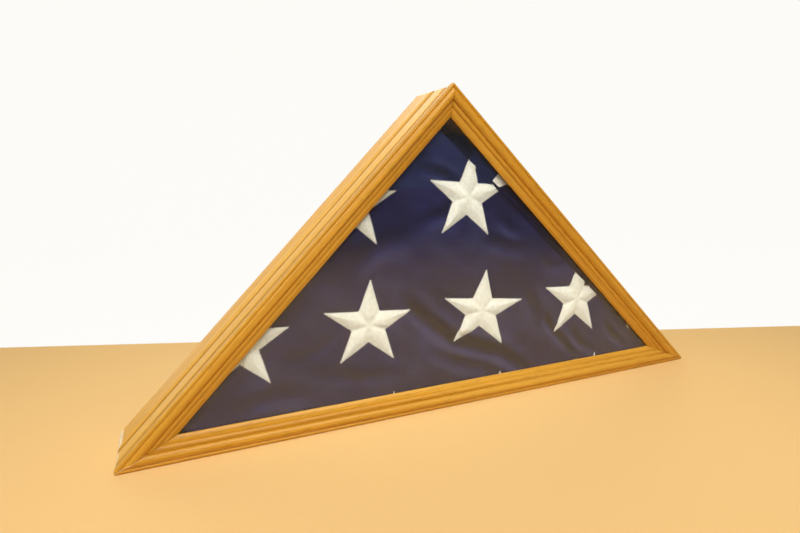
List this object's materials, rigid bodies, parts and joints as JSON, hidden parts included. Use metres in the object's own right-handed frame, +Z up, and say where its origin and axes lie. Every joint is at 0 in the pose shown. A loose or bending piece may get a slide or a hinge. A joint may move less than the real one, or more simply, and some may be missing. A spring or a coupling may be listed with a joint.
{
  "type": "folded flag display case",
  "caption": "Triangular oak display case with a reeded front moulding, glass front, lift-out back held by turn buttons, and a folded navy flag with white stars inside.",
  "frame": {"origin": "under the middle of the case, on the plane it stands on, half way between the front of the moulding and the back of the screw heads", "axes": "+X to the right as seen from the front, +Y from the glass to the back panel, +Z up to the apex"},
  "size_m": [0.652, 0.0816, 0.33],
  "materials": {
    "moulding_oak": "satin varnish",
    "side_oak": "satin varnish",
    "rear_oak": "satin varnish",
    "glass": "clear polished",
    "steel": "bright zinc plate",
    "brass": "brass plate",
    "hardboard": "smooth pressed fibre",
    "flag_cotton": "plain woven cotton bunting",
    "star_cotton": "white cotton, zigzag sewn"
  },
  "bodies": {
    "root": {"front_moulding_bottom": "moulding_oak", "front_moulding_right": "moulding_oak", "front_moulding_left": "moulding_oak", "side_board_bottom": "side_oak", "side_board_right": "side_oak", "side_board_left": "side_oak", "rear_board_bottom": "rear_oak", "rear_board_right": "rear_oak", "rear_board_left": "rear_oak", "glass_pane": "glass", "glazing_points": "steel", "corner_v_nails": "steel", "side_brads": "steel", "rear_nails": "steel", "button_screws": "brass", "flag": "flag_cotton", "flag_stars": "star_cotton"},
    "back_panel": {"back_panel": "hardboard"},
    "turn_button_1": {"turn_button_1": "brass"},
    "turn_button_2": {"turn_button_2": "brass"},
    "turn_button_3": {"turn_button_3": "brass"},
    "turn_button_4": {"turn_button_4": "brass"},
    "turn_button_5": {"turn_button_5": "brass"},
    "turn_button_6": {"turn_button_6": "brass"}
  },
  "joints": [
    {"name": "panel_lift_out", "type": "slide", "parent": "root", "child": "back_panel", "axis": [0, 1, 0], "range_m": [0, 0.08]},
    {"name": "button_1_turn", "type": "hinge", "parent": "root", "child": "turn_button_1", "pos_m": [-0.1452, 0.0379, 0.0054], "axis": [0, -1, 0], "range_deg": [0, 90]},
    {"name": "button_2_turn", "type": "hinge", "parent": "root", "child": "turn_button_2", "pos_m": [0.1452, 0.0379, 0.0054], "axis": [0, -1, 0], "range_deg": [0, 90]},
    {"name": "button_3_turn", "type": "hinge", "parent": "root", "child": "turn_button_3", "pos_m": [0.23378, 0.0379, 0.08858], "axis": [0, -1, 0], "range_deg": [0, 90]},
    {"name": "button_4_turn", "type": "hinge", "parent": "root", "child": "turn_button_4", "pos_m": [0.08858, 0.0379, 0.23378], "axis": [0, -1, 0], "range_deg": [0, 90]},
    {"name": "button_5_turn", "type": "hinge", "parent": "root", "child": "turn_button_5", "pos_m": [-0.08858, 0.0379, 0.23378], "axis": [0, -1, 0], "range_deg": [0, 90]},
    {"name": "button_6_turn", "type": "hinge", "parent": "root", "child": "turn_button_6", "pos_m": [-0.23378, 0.0379, 0.08858], "axis": [0, -1, 0], "range_deg": [0, 90]}
  ]
}
